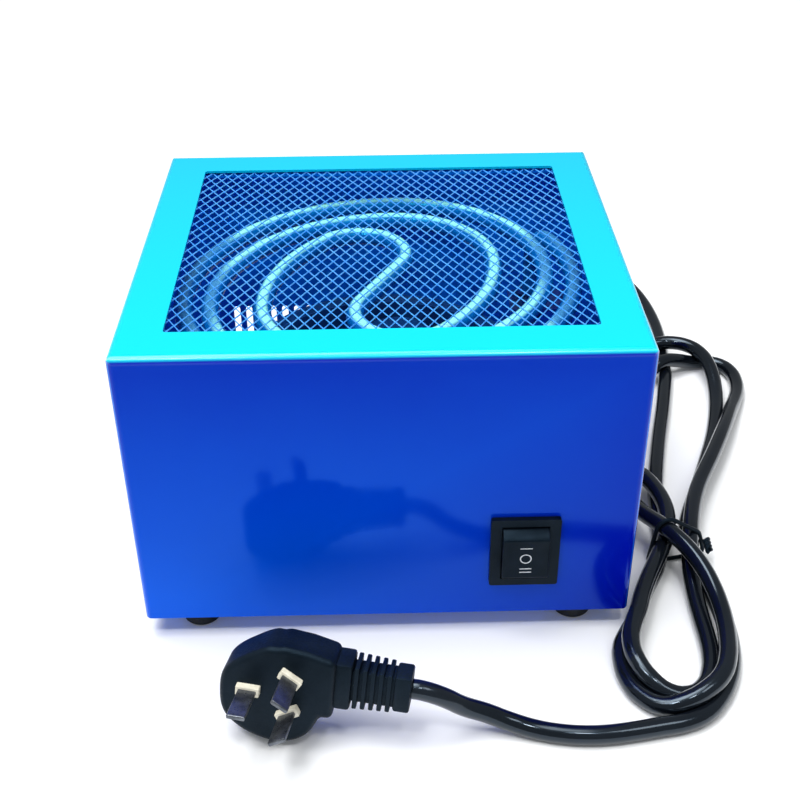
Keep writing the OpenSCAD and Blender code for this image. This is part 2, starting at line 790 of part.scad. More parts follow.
// the tied turns of cord, as the outline that they fill
module cord_hank() {
  color([0.04, 0.04, 0.05]) translate([0, 0, hank_low]) linear_extrude(hank_h) {
    hull() {
      translate(hank_near) circle(hank_near_r, $fn = 32);
      translate(hank_waist) circle(hank_waist_r, $fn = 32);
    }
    hull() {
      translate(hank_waist) circle(hank_waist_r, $fn = 32);
      translate(hank_far) circle(hank_far_r, $fn = 32);
    }
  }
}

module cord_tie() {
  in_w = 2 * (hank_waist_r + tie_gap + 0.2);
  in_h = hank_h + 2 * tie_gap;
  color([0.1, 0.1, 0.12]) translate([hank_waist[0], hank_waist[1], hank_low - tie_gap])
    rotate(-tie_turn) difference() {
      translate([-in_w / 2 - tie_t, -tie_w / 2, -tie_t]) cube([in_w + 2 * tie_t, tie_w, in_h + 2 * tie_t]);
      translate([-in_w / 2, -tie_w, 0]) cube([in_w, 2 * tie_w, in_h]);
    }
}

// the plug's own frame: the pins point along -y from its face, the cord leaves along +x
module at_plug() {
  translate(plug_at) rotate([0, 0, plug_yaw]) rotate([plug_lean, 0, 0]) rotate([0, plug_roll, 0])
    children();
}

// a rounded block of the relief, from x0 to x1, w deep and h high
module relief_block(x0, x1, w, h) {
  translate([x0, relief_y, 0]) rotate([90, 0, 90]) linear_extrude(x1 - x0) round_rect(w, h, 2);
}

module at_pins() {
  translate([-earth_r, 0, 0]) children();
  for (s = [-1, 1]) translate([live_x, 0, s * live_z]) rotate([0, s * 30, 0]) children();
}

module plug_body() {
  edge = 4;
  rib_pitch = 3.1;
  color([0.05, 0.05, 0.06]) at_plug() difference() {
    union() {
      translate([plug_off, 0, 0]) rotate([-90, 0, 0]) rotate_extrude() {
        square([plug_d / 2 - edge, plug_t]);
        square([plug_d / 2, plug_t - edge]);
        translate([plug_d / 2 - edge, plug_t - edge]) circle(edge);
      }
      relief_block(0, 18, plug_t - 3, plug_d - 13);
      relief_block(10, 25, 12, 17);
      relief_block(20, relief_end, 8, 11.5);
      for (i = [0:4]) relief_block(25.6 + i * rib_pitch, 27.3 + i * rib_pitch, 11.5, 16 - i * 0.5);
      relief_block(relief_end - 5.5, relief_end, 10.5, 13);
    }
    at_pins() translate([-pin_w / 2 - 1, -eps, -pin_t / 2 - 1])
      cube([pin_w + 2, eps + 4, pin_t + 2]);
  }
}

module plug_collars() {
  color("ivory") at_plug() at_pins() difference() {
    translate([-pin_w / 2 - 1 + seat, -2.6, -pin_t / 2 - 1 + seat])
      cube([pin_w + 2 - 2 * seat, 6.6 - seat, pin_t + 2 - 2 * seat]);
    translate([-pin_w / 2 - seat, -4, -pin_t / 2 - seat]) cube([pin_w + 2 * seat, 9, pin_t + 2 * seat]);
  }
}

module plug_pins() {
  color("silver") at_plug() at_pins() translate([-pin_w / 2, -18, -pin_t / 2])
    cube([pin_w, 18 + 4 - seat, pin_t]);
}

cover();
base_tray();
feet();
foot_screws();
foot_nuts();
cover_screws();
mesh_screen();
mesh_clamp_frame();
clamp_nuts();
heating_tube();
tube_bushes();
bush_nuts();
heater_bracket_left();
heater_bracket_right();
bracket_screws();
bracket_nuts();
terminal_ceramics();
terminal_pins();
thermal_cutout();
fan_duct();
fan_motor();
fan_rotor();
fan_posts();
fan_screws();
post_screws();
switch_housing();
switch_rocker();
switch_blades();
terminal_block();
block_screws();
earth_stud();
cord_gland();
gland_nut();
cord_lead();
cord_hank();
cord_tie();
cord_tail();
plug_body();
plug_collars();
plug_pins();
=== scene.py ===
import math

import bpy
import numpy as np
from mathutils import Matrix, Vector


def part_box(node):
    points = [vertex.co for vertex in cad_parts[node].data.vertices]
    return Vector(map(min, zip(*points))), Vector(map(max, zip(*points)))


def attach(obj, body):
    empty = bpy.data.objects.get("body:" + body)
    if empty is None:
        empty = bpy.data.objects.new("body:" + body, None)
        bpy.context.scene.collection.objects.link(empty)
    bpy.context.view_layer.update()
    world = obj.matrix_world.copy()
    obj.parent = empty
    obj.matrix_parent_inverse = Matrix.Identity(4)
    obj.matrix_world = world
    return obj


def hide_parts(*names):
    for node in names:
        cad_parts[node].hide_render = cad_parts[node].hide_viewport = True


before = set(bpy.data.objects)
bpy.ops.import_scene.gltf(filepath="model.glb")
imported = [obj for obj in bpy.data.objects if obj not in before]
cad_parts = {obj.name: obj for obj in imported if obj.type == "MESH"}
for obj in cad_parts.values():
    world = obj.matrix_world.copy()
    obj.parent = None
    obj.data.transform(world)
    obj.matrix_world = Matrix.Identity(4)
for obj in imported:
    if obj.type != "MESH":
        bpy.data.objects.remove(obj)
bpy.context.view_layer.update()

mm = 0.001


# ---------------------------------------------------------------------------
# Camera. It stands in front of the switch panel and a little above the case,
# and looks down at the mesh, the way a person bends over the dryer.
camera_place = Vector((-1.05, -429.7, 338.6)) * mm
camera_turn_right = 0.0186688
camera_look_down = 0.587821
camera_roll = -0.00799117
camera_lens_mm = 55.44

bpy.ops.object.camera_add()
camera = bpy.context.object
camera.name = "camera"
camera.data.sensor_width = 36
camera.data.lens = camera_lens_mm
camera.matrix_world = Matrix.Translation(camera_place) @ (
    Matrix.Rotation(-camera_turn_right, 4, "Z")
    @ Matrix.Rotation(math.pi / 2 - camera_look_down, 4, "X")
    @ Matrix.Rotation(camera_roll, 4, "Z")
)
camera.data.clip_start = 0.01
camera.data.clip_end = 20
bpy.context.scene.camera = camera
bpy.context.scene.view_settings.view_transform = "Standard"


# ---------------------------------------------------------------------------
# Floor and studio light. A pale table top under a wide, soft sun and a box overhead,
# with two boxes and two small strips at the front. The floor glows a little where the
# camera or a reflection sees it, so that it shows white and still keeps the shadow.
floor_glow = 0.06
world_light = 0.3


def node_material(name):
    """A new material with its tree, its links and its Principled BSDF."""
    material = bpy.data.materials.new(name)
    material.use_nodes = True
    tree = material.node_tree
    return material, tree.nodes, tree.links, tree.nodes["Principled BSDF"]


def calculated(nodes, links, operation, *values):
    """The result of a math node whose inputs are sockets or plain numbers."""
    node = nodes.new("ShaderNodeMath")
    node.operation = operation
    for socket, value in zip(node.inputs, values):
        if isinstance(value, (int, float)):
            socket.default_value = value
        else:
            links.new(value, socket)
    return node.outputs[0]


bpy.ops.mesh.primitive_grid_add(x_subdivisions=8, y_subdivisions=8, size=8, location=(0, 0, 0))
floor = bpy.context.object
floor.name = "floor"
floor_white, nodes, links, shader = node_material("floor_white")
shader.inputs["Base Color"].default_value = (0.90, 0.91, 0.92, 1)
shader.inputs["Roughness"].default_value = 0.85
shader.inputs["Specular IOR Level"].default_value = 0.15
lift = nodes.new("ShaderNodeEmission")
lift.inputs["Color"].default_value = (0.93, 0.97, 1, 1)
ray = nodes.new("ShaderNodeLightPath").outputs
seen = calculated(nodes, links, "MAXIMUM", ray["Is Camera Ray"], ray["Is Glossy Ray"])
links.new(calculated(nodes, links, "MULTIPLY", seen, floor_glow), lift.inputs["Strength"])
both = nodes.new("ShaderNodeAddShader")
links.new(shader.outputs[0], both.inputs[0])
links.new(lift.outputs[0], both.inputs[1])
links.new(both.outputs[0], nodes["Material Output"].inputs["Surface"])
floor.data.materials.append(floor_white)

world = bpy.data.worlds.new("studio")
bpy.context.scene.world = world
world.use_nodes = True
nodes, links = world.node_tree.nodes, world.node_tree.links
backdrop = nodes["Background"]
backdrop.inputs["Color"].default_value = (0.95, 0.98, 1, 1)
ray = nodes.new("ShaderNodeLightPath").outputs
seen = calculated(nodes, links, "MAXIMUM", ray["Is Camera Ray"], ray["Is Transmission Ray"])
level = nodes.new("ShaderNodeMapRange")
level.inputs["To Min"].default_value = world_light
level.inputs["To Max"].default_value = 1.0
links.new(seen, level.inputs["Value"])
links.new(level.outputs[0], backdrop.inputs["Strength"])

bpy.ops.object.light_add(type="SUN", location=(-0.2, 0.15, 1.4))
sky_panel = bpy.context.object
sky_panel.name = "sky_panel"
sky_panel.data.angle = 0.7
sky_panel.data.energy = 1.5
sky_panel.rotation_euler = Vector((0.2, -0.1, -1.0)).to_track_quat("-Z", "Y").to_euler()

soft_boxes = [
    # name, place, aim, width, depth, watts
    ("box_overhead", (-0.2, 0.1, 1.3), (0, 0, 0), 0.7, 0.5, 5.5),
    ("box_front_left", (-0.6, -0.55, 1.4), (-0.1, -0.1, 0), 0.5, 0.4, 4.5),
    ("box_front_right", (0.65, -0.5, 1.4), (0.1, -0.1, 0), 0.4, 0.4, 3.0),
    ("strip_left", (-0.26, -0.5, 0.95), (-0.08, -0.083, 0.12), 0.16, 0.08, 1.7),
    ("strip_right", (0.15, -0.5, 0.95), (0.05, -0.083, 0.12), 0.12, 0.08, 1.3),
]
for name, place, aim, width, depth, watts in soft_boxes:
    bpy.ops.object.light_add(type="AREA", location=place)
    light = bpy.context.object
    light.name = name
    light.data.shape = "RECTANGLE"
    light.data.size = width
    light.data.size_y = depth
    light.data.energy = watts
    light.rotation_euler = (Vector(aim) - Vector(place)).to_track_quat("-Z", "Y").to_euler()


# ---------------------------------------------------------------------------
# Base tray. A shallow tray of the same blue sheet steel as the cover, folded up
# at its edges, which closes the case from below and carries everything inside.
def surface_grain_group():
    """Mottle and fine grain that follow the object's own coordinates, at scales given to the group."""
    group = bpy.data.node_groups.new("surface_grain", "ShaderNodeTree")
    for name in ("Mottle", "Grain"):
        group.interface.new_socket(name + " Scale", in_out="INPUT", socket_type="NodeSocketFloat")
        group.interface.new_socket(name, in_out="OUTPUT", socket_type="NodeSocketFloat")
    nodes, links = group.nodes, group.links
    given = nodes.new("NodeGroupInput")
    result = nodes.new("NodeGroupOutput")
    place = nodes.new("ShaderNodeTexCoord")
    for name, detail in (("Mottle", 3), ("Grain", 2)):
        noise = nodes.new("ShaderNodeTexNoise")
        noise.inputs["Detail"].default_value = detail
        links.new(place.outputs["Object"], noise.inputs["Vector"])
        links.new(given.outputs[name + " Scale"], noise.inputs["Scale"])
        links.new(noise.outputs["Fac"], result.inputs[name])
    return group


surface_grain = surface_grain_group()


def add_grain(nodes, mottle_scale, grain_scale):
    """The shared grain group, placed in a material with its own scales."""
    grain = nodes.new("ShaderNodeGroup")
    grain.node_tree = surface_grain
    grain.inputs["Mottle Scale"].default_value = mottle_scale
    grain.inputs["Grain Scale"].default_value = grain_scale
    return grain


def mixed_colour(nodes, links, share, dark, light):
    """A colour between dark and light, by the share that a socket gives."""
    mix = nodes.new("ShaderNodeMix")
    mix.data_type = "RGBA"
    mix.inputs[6].default_value = (*dark, 1)
    mix.inputs[7].default_value = (*light, 1)
    links.new(share, mix.inputs["Factor"])
    return mix.outputs[2]


def bumped(nodes, links, height, distance, strength=1.0):
    """A normal roughened by the height that a socket gives."""
    bump = nodes.new("ShaderNodeBump")
    bump.inputs["Strength"].default_value = strength
    bump.inputs["Distance"].default_value = distance
    links.new(height, bump.inputs["Height"])
    return bump.outputs["Normal"]


def between(nodes, links, value, low, high, from_low=0.3, from_high=0.7):
    """The value moved from its own range into the range low to high, and held inside it."""
    ranged = nodes.new("ShaderNodeMapRange")
    ranged.inputs["From Min"].default_value = from_low
    ranged.inputs["From Max"].default_value = from_high
    ranged.inputs["To Min"].default_value = low
    ranged.inputs["To Max"].default_value = high
    links.new(value, ranged.inputs["Value"])
    return ranged.outputs[0]


def plain_finish(name, dark, light, rough, metal=0.0, mottle=40, grain=900, depth=0.00003,
                 coat=0.0, coat_rough=0.1, specular=0.5, tint=(1, 1, 1)):
    """A finish of one colour with mottling, uneven gloss and fine grain."""
    material, nodes, links, shader = node_material(name)
    grained = add_grain(nodes, mottle, grain)
    shared = between(nodes, links, grained.outputs["Mottle"], 0, 1)
    links.new(mixed_colour(nodes, links, shared, dark, light), shader.inputs["Base Color"])
    links.new(between(nodes, links, grained.outputs["Grain"], *rough), shader.inputs["Roughness"])
    links.new(bumped(nodes, links, grained.outputs["Grain"], depth), shader.inputs["Normal"])
    shader.inputs["Metallic"].default_value = metal
    shader.inputs["Coat Weight"].default_value = coat
    shader.inputs["Coat Roughness"].default_value = coat_rough
    shader.inputs["Specular IOR Level"].default_value = specular
    shader.inputs["Specular Tint"].default_value = (*tint, 1)
    return material


def dress(names, material):
    """The CAD nodes of those names take the material."""
    for name in names:
        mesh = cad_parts[name].data
        mesh.materials.clear()
        mesh.materials.append(material)


# painted light on one blue enamel: a painted cyan sheen on the top face, bluer towards the back; the
# sides lighter low down and deeper high up, a painted reflection; the inside lighter, painted light
# where the walls and mesh shade it
top_painted_sheen_front = (0.0, 0.64, 0.82)
top_painted_sheen_back = (0.0, 0.52, 0.76)
side_blue_painted_reflection_low = (0.0, 0.10, 0.80)
side_blue_painted_reflection_high = (0.0, 0.003, 0.40)
inside_blue_painted_light_low = (0.0, 0.17, 0.95)
inside_blue_painted_light_high = (0.0, 0.27, 1.0)
enamel_gloss_tint = (0.015, 0.30, 0.95)
case_half_x = 92 * mm
case_half_y = 85.5 * mm
case_mid_y = 2 * mm
case_top_z = 126 * mm


def blue_enamel(name):
    """Glossy blue enamel with painted light: a painted cyan sheen on the top face, a painted reflection
    on the sides that deepens upwards and to the right, and painted light inside.
    """
    material, nodes, links, shader = node_material(name)
    place = nodes.new("ShaderNodeTexCoord").outputs["Object"]
    part = nodes.new("ShaderNodeSeparateXYZ")
    links.new(place, part.inputs[0])
    x, y, z = part.outputs
    from_middle = nodes.new("ShaderNodeVectorMath")
    from_middle.operation = "SUBTRACT"
    from_middle.inputs[1].default_value = (0, case_mid_y, 0)
    links.new(place, from_middle.inputs[0])
    off_middle = nodes.new("ShaderNodeVectorMath")
    off_middle.operation = "ABSOLUTE"
    links.new(from_middle.outputs[0], off_middle.inputs[0])
    outward = nodes.new("ShaderNodeSeparateXYZ")
    links.new(off_middle.outputs[0], outward.inputs[0])
    out_x, out_y = outward.outputs["X"], outward.outputs["Y"]

    # the three colours, each painted light on one blue enamel: painted reflection on the outer sides, a
    # painted sheen over the top face, and painted light inside
    grained = add_grain(nodes, 14, 260)
    # painted reflection and painted shade: the sides lighter low on the left where the white floor is
    # mirrored, deepening upwards and to the right where the cords and their shadow are mirrored; the
    # top's painted sheen bluer towards the back; the inside's painted light stronger upwards
    upwards = between(nodes, links, z, 0, 1, 20 * mm, 120 * mm)
    rightwards = between(nodes, links, x, 0, 1, -70 * mm, 90 * mm)
    backwards = between(nodes, links, y, 0, 1, -80 * mm, 90 * mm)
    painted_shade_share = calculated(nodes, links, "MAXIMUM", rightwards, upwards)
    eased = calculated(nodes, links, "MULTIPLY", painted_shade_share, 0.85)
    mottle_and_painted_reflection = calculated(nodes, links, "MULTIPLY_ADD", grained.outputs["Mottle"], 0.2, eased)
    side = mixed_colour(nodes, links, mottle_and_painted_reflection, side_blue_painted_reflection_low, side_blue_painted_reflection_high)
    top = mixed_colour(nodes, links, backwards, top_painted_sheen_front, top_painted_sheen_back)
    inner = mixed_colour(nodes, links, upwards, inside_blue_painted_light_low, inside_blue_painted_light_high)

    # where each of them shows, with a soft change close under the outer faces
    is_top = between(nodes, links, z, 0, 1, case_top_z - 1.7 * mm, case_top_z - 0.8 * mm)
    at_end = between(nodes, links, out_x, 0, 1, case_half_x - 0.8 * mm, case_half_x - 0.4 * mm)
    at_face = between(nodes, links, out_y, 0, 1, case_half_y - 0.8 * mm, case_half_y - 0.4 * mm)
    is_side = calculated(nodes, links, "MAXIMUM", at_end, at_face)
    colour = inner
    for share, over in ((is_side, side), (is_top, top)):
        laid = nodes.new("ShaderNodeMix")
        laid.data_type = "RGBA"
        links.new(share, laid.inputs["Factor"])
        links.new(colour, laid.inputs[6])
        links.new(over, laid.inputs[7])
        colour = laid.outputs[2]
    links.new(colour, shader.inputs["Base Color"])
    links.new(between(nodes, links, grained.outputs["Mottle"], 0.07, 0.12), shader.inputs["Roughness"])
    links.new(bumped(nodes, links, grained.outputs["Grain"], 0.00001, 0.15), shader.inputs["Normal"])

    # a clear coat along the top's front and back folds alone, which catches the light there
    near_face = between(nodes, links, out_y, 0, 1, case_half_y - 2.5 * mm, case_half_y - 1 * mm)
    near_top = between(nodes, links, z, 0, 1, case_top_z - 3 * mm, case_top_z - 1.5 * mm)
    links.new(calculated(nodes, links, "MULTIPLY", near_face, near_top), shader.inputs["Coat Weight"])
    shader.inputs["Coat Roughness"].default_value = 0.22
    shader.inputs["IOR"].default_value = 1.7
    shader.inputs["Specular Tint"].default_value = (*enamel_gloss_tint, 1)
    return material


enamel = blue_enamel("blue_enamel")
dress(["base_tray"], enamel)


# ---------------------------------------------------------------------------
# Feet. Four moulded rubber feet, each held by a screw up through its pocket into
# a nut on the tray. All the other screws, nuts and posts have the same zinc.
black_gloss_tint = (0.35, 0.6, 0.85)
foot_rubber = plain_finish("foot_rubber", (0.012, 0.012, 0.013), (0.03, 0.03, 0.032), (0.55, 0.8),
                           mottle=120, grain=1500, depth=0.00005, specular=0.2, tint=black_gloss_tint)
dress(["feet"], foot_rubber)
zinc = plain_finish("zinc_plate", (0.48, 0.5, 0.52), (0.72, 0.74, 0.76), (0.22, 0.4), metal=1.0,
                    mottle=300, grain=2200, depth=0.00001)
dress(["foot_screws", "foot_nuts", "cover_screws", "clamp_nuts", "bracket_screws", "bracket_nuts",
       "fan_posts", "fan_screws", "post_screws", "block_screws"], zinc)


# ---------------------------------------------------------------------------
# Fan. A nylon duct on four hexagon posts, with the motor's stator on its hub plate
# and a seven-blade rotor on the motor's shaft, blowing up through the heater. The
# thermal cut-out and the gland's nut are of the same nylon.
# painted reflection: the black nylon is painted dark blue for the blue case round it
nylon = plain_finish("glass_filled_nylon", (0.003, 0.035, 0.15), (0.006, 0.06, 0.24), (0.38, 0.6),
                     mottle=90, grain=1400, depth=0.00004, specular=0.3, tint=black_gloss_tint)
dress(["fan_duct", "fan_rotor", "gland_nut", "thermal_cutout"], nylon)
stator = plain_finish("stator_lacquer", (0.02, 0.02, 0.022), (0.06, 0.06, 0.064), (0.35, 0.55),
                      metal=0.6, mottle=200, grain=2600, depth=0.00003)
dress(["fan_motor"], stator)


# ---------------------------------------------------------------------------
# Heating tube. One steel tube wound as a double spiral: both halves leave the
# middle in opposite directions, circle it and turn down into their bushes. Its colour
# is a painted highlight, and the parts round it are painted blue as a painted
# reflection of the blue case that they sit in.
tube_radius = 3.5 * mm
tube_height = 106 * mm
arm_heading = math.radians(62)
arm_straight = 17 * mm
# each bend: radius in mm, angle in degrees
arm_bends = [(19.5, 163), (78, 45), (41, 90), (71, 90), (61, 90), (82, 90), (66, 25)]
leg_bend = 12 * mm
leg_drop = 42 * mm
# the painted highlight spans these facings of the tube's surface, and the painted shade of the border
# these distances from the middle
painted_highlight_from, painted_highlight_to = 0.74, 0.95
painted_border_shade_from, painted_border_shade_to = 58.5 * mm, 64.5 * mm


def arm_line():
    """The centre line of one half of the tube, from the middle outwards."""
    heading = arm_heading
    x, y = arm_straight * math.cos(heading), arm_straight * math.sin(heading)
    line = [(x, y, 0.0)]
    for radius, angle in arm_bends:
        radius *= mm
        cx, cy = x - radius * math.sin(heading), y + radius * math.cos(heading)
        steps = max(3, round(angle / 4))
        for i in range(1, steps + 1):
            turned = heading + math.radians(angle) * i / steps
            line.append((cx + radius * math.sin(turned), cy - radius * math.cos(turned), 0.0))
        heading += math.radians(angle)
        x, y = line[-1][0], line[-1][1]
    for i in range(1, 11):
        fall = math.pi / 2 * i / 10
        out = leg_bend * math.sin(fall)
        down = leg_bend * (1 - math.cos(fall))
        line.append((x + out * math.cos(heading), y + out * math.sin(heading), -down))
    line.append((line[-1][0], line[-1][1], -leg_drop))
    return line


def select_only(piece):
    """Makes the piece the one selected and active object."""
    bpy.ops.object.select_all(action="DESELECT")
    piece.select_set(True)
    bpy.context.view_layer.objects.active = piece


def tube_along(name, line, radius, sides=8):
    """A round tube along the points, as a mesh with a closed cap at each end."""
    curve = bpy.data.curves.new(name, "CURVE")
    curve.dimensions = "3D"
    curve.bevel_depth = radius
    curve.bevel_resolution = sides
    curve.use_fill_caps = True
    spline = curve.splines.new("POLY")
    spline.points.add(len(line) - 1)
    for point, place in zip(spline.points, line):
        point.co = (*place, 1)
    piece = bpy.data.objects.new(name, curve)
    bpy.context.scene.collection.objects.link(piece)
    select_only(piece)
    bpy.ops.object.convert(target="MESH")
    bpy.ops.object.shade_smooth_by_angle(angle=math.radians(40))
    return bpy.context.object


arm = arm_line()
whole_line = [(-x, -y, z) for x, y, z in reversed(arm)] + arm
whole_line = [(x, y + case_mid_y, z + tube_height) for x, y, z in whole_line]
heating_tube = tube_along("bent_heating_tube", whole_line, tube_radius)
tube_steel, nodes, links, shader = node_material("bright_tube_steel")
grained = add_grain(nodes, 60, 1200)
facing = nodes.new("ShaderNodeNewGeometry")
facing_up = nodes.new("ShaderNodeSeparateXYZ")
links.new(facing.outputs["Normal"], facing_up.inputs[0])
# painted highlight: pale along its crest, which faces the light from above, and teal on its flanks;
# painted shade where its outer turns pass under the border
crest = between(nodes, links, facing_up.outputs["Z"], 0, 1, painted_highlight_from, painted_highlight_to)
place = nodes.new("ShaderNodeTexCoord")
sideways = nodes.new("ShaderNodeVectorMath")
sideways.operation = "ABSOLUTE"
links.new(place.outputs["Object"], sideways.inputs[0])
apart = nodes.new("ShaderNodeSeparateXYZ")
links.new(sideways.outputs[0], apart.inputs[0])
clear_of_painted_border_shade = between(nodes, links, apart.outputs["X"], 1, 0.15, painted_border_shade_from, painted_border_shade_to)
painted_highlight_share = calculated(nodes, links, "MULTIPLY", crest, clear_of_painted_border_shade)
links.new(mixed_colour(nodes, links, painted_highlight_share, (0.0, 0.13, 0.46), (0.34, 1.0, 0.86)),
          shader.inputs["Base Color"])
links.new(between(nodes, links, grained.outputs["Grain"], 0.2, 0.32), shader.inputs["Roughness"])
links.new(bumped(nodes, links, grained.outputs["Grain"], 0.00002), shader.inputs["Normal"])
shader.inputs["IOR"].default_value = 1.7
shader.inputs["Specular Tint"].default_value = (0.05, 0.75, 1, 1)
heating_tube.data.materials.append(tube_steel)
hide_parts("heating_tube")
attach(heating_tube, "box")

# painted reflection: the plated bushes, galvanised brackets and steatite are painted blue for the blue
# case round them
brass = plain_finish("plated_brass", (0.07, 0.16, 0.32), (0.13, 0.25, 0.44), (0.22, 0.38), metal=1.0,
                     mottle=200, grain=2400, depth=0.00001)
dress(["tube_bushes", "bush_nuts", "earth_stud"], brass)
galvanised = plain_finish("galvanised_sheet", (0.08, 0.20, 0.42), (0.16, 0.30, 0.56), (0.3, 0.5),
                          metal=1.0, mottle=110, grain=700, depth=0.00001)
dress(["heater_bracket_left", "heater_bracket_right"], galvanised)
steatite = plain_finish("steatite", (0.44, 0.50, 0.56), (0.60, 0.65, 0.70), (0.5, 0.7),
                        mottle=220, grain=1800, depth=0.00002)
dress(["terminal_ceramics", "terminal_block"], steatite)
nickel = plain_finish("nickel_plate", (0.62, 0.62, 0.62), (0.85, 0.85, 0.84), (0.12, 0.26), metal=1.0,
                      mottle=260, grain=2400, depth=0.00001)
dress(["terminal_pins", "switch_blades"], nickel)


# ---------------------------------------------------------------------------
# Switch. A three-position rocker that snaps into the panel from outside, with
# pale marks printed on its face: a bar, a ring and a double bar. Both halves of the
# rocker's face lean in towards a shallow valley at its pivot.
switch_nylon = plain_finish("switch_nylon", (0.001, 0.003, 0.006), (0.004, 0.007, 0.012), (0.3, 0.42),
                            mottle=160, grain=1700, depth=0.00002, specular=0.18, tint=black_gloss_tint)
dress(["switch_housing"], switch_nylon)


def finished(piece):
    """Brings the piece's origin to the world's origin, unturned and unscaled."""
    select_only(piece)
    bpy.ops.object.transform_apply(location=True, rotation=True, scale=True)
    return piece


def rectangle(x0, x1, z0, z1):
    """A four-cornered outline for prism()."""
    return [(x0, z0), (x1, z0), (x1, z1), (x0, z1)]


def prism(name, outline, depth, bevel, segments=3):
    """A closed outline in x and z, pulled back along y from y=0, with all its edges rounded."""
    mesh = bpy.data.meshes.new(name)
    mesh.from_pydata([(x * mm, 0, z * mm) for x, z in outline], [], [list(range(len(outline)))])
    piece = bpy.data.objects.new(name, mesh)
    bpy.context.scene.collection.objects.link(piece)
    select_only(piece)
    bpy.ops.object.mode_set(mode="EDIT")
    bpy.ops.mesh.select_all(action="SELECT")
    bpy.ops.mesh.extrude_region_move(TRANSFORM_OT_translate={"value": (0, depth * mm, 0)})
    bpy.ops.mesh.select_all(action="SELECT")
    bpy.ops.mesh.normals_make_consistent(inside=False)
    bpy.ops.object.mode_set(mode="OBJECT")
    rounding = piece.modifiers.new("rounding", "BEVEL")
    rounding.width = bevel * mm
    rounding.segments = segments
    rounding.angle_limit = math.radians(35)
    rounding.limit_method = "ANGLE"
    bpy.ops.object.modifier_apply(modifier="rounding")
    bpy.ops.object.shade_smooth_by_angle(angle=math.radians(40))
    return piece


def joined(pieces, name):
    """The pieces made into one, under a new name."""
    bpy.ops.object.select_all(action="DESELECT")
    for piece in pieces:
        piece.select_set(True)
    bpy.context.view_layer.objects.active = pieces[0]
    bpy.ops.object.join()
    pieces[0].name = name
    return pieces[0]


rocker_pivot = Vector((50.8, -81, 40.6)) * mm
rocker_round = 12.0
rocker_front = 8.3
rocker_valley = 7.5
rocker_wide = 17.0
rocker_heel = (2.4, -11.2)
rocker_edge = 0.35
end_height = math.sqrt(rocker_round ** 2 - rocker_front ** 2)
heel_angle = math.atan2(rocker_heel[1], rocker_heel[0])
end_angle = math.atan2(-end_height, -rocker_front)
# the rocker's section: y and z from its pivot, in mm
lower_round = []
for i in range(13):
    turn = heel_angle + (end_angle - heel_angle) * i / 12
    lower_round.append((rocker_round * math.cos(turn), rocker_round * math.sin(turn)))
upper_round = [(y, -z) for y, z in reversed(lower_round)]
rocker_outline = [rocker_heel, *lower_round, (-rocker_valley, 0), *upper_round]
rocker = prism("fine_rocker", rocker_outline, rocker_wide, rocker_edge)
rocker.rotation_euler = (0, 0, math.pi / 2)
rocker.location = rocker_pivot + Vector((rocker_wide / 2 * mm, 0, 0))
finished(rocker)
rocker.data.materials.append(switch_nylon)
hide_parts("switch_rocker")
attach(rocker, "rocker")

mark_print = plain_finish("mark_print", (0.58, 0.62, 0.68), (0.74, 0.78, 0.84), (0.4, 0.6),
                          mottle=900, grain=3000, depth=0.000005)
mark_wide = 4.4
mark_stroke = 0.38
mark_deep = 0.5
mark_proud = 0.06
ring_radius = 1.95 * mm
ring_stroke = 0.22 * mm
valley_rise = rocker_front - rocker_valley
marks = []
for mark_z in (45.6, 36.0, 34.5):
    off_pivot = mark_z * mm - rocker_pivot.z
    bar = prism("mark_bar", rectangle(-mark_wide / 2, mark_wide / 2, -mark_stroke / 2, mark_stroke / 2),
                mark_deep, mark_proud, 2)
    bar.rotation_euler = (math.atan2(math.copysign(valley_rise, off_pivot), end_height), 0, 0)
    out = (rocker_valley + mark_proud) * mm + valley_rise * abs(off_pivot) / end_height
    bar.location = (rocker_pivot.x, rocker_pivot.y - out, mark_z * mm)
    marks.append(finished(bar))
ring_place = (rocker_pivot.x, rocker_pivot.y - (rocker_valley + 0.15) * mm, 40.5 * mm)
bpy.ops.mesh.primitive_torus_add(major_segments=48, minor_segments=10, major_radius=ring_radius,
                                 minor_radius=ring_stroke, location=ring_place,
                                 rotation=(math.pi / 2, 0, 0))
ring = bpy.context.object
ring.scale = (1, 1, 0.6)
marks.append(finished(ring))
switch_marks = joined(marks, "switch_marks")
switch_marks.data.materials.append(mark_print)
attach(switch_marks, "rocker")


# ---------------------------------------------------------------------------
# Cover. Sheet steel folded down on four sides from a bordered opening, with slots
# low in its back wall, and enamelled all over.
dress(["cover", "mesh_clamp_frame"], enamel)


# ---------------------------------------------------------------------------
# Mesh. Expanded steel with diamond openings, coated light blue and clamped under the
# border. A square grid is turned by 45 degrees, stretched into diamonds and cut to
# size, and then its edges become the strands.
mesh_lo, mesh_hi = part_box("mesh_screen")
mesh_short = 4.5 * mm
mesh_long = 7.7 * mm
strand_width = 0.62 * mm
strand_thick = 0.7 * mm
half_x = (mesh_hi.x - mesh_lo.x) / 2
half_y = (mesh_hi.y - mesh_lo.y) / 2
mesh_mid = (mesh_lo + mesh_hi) / 2
cells = 2 * math.ceil(half_x / mesh_short + half_y / mesh_long) + 2

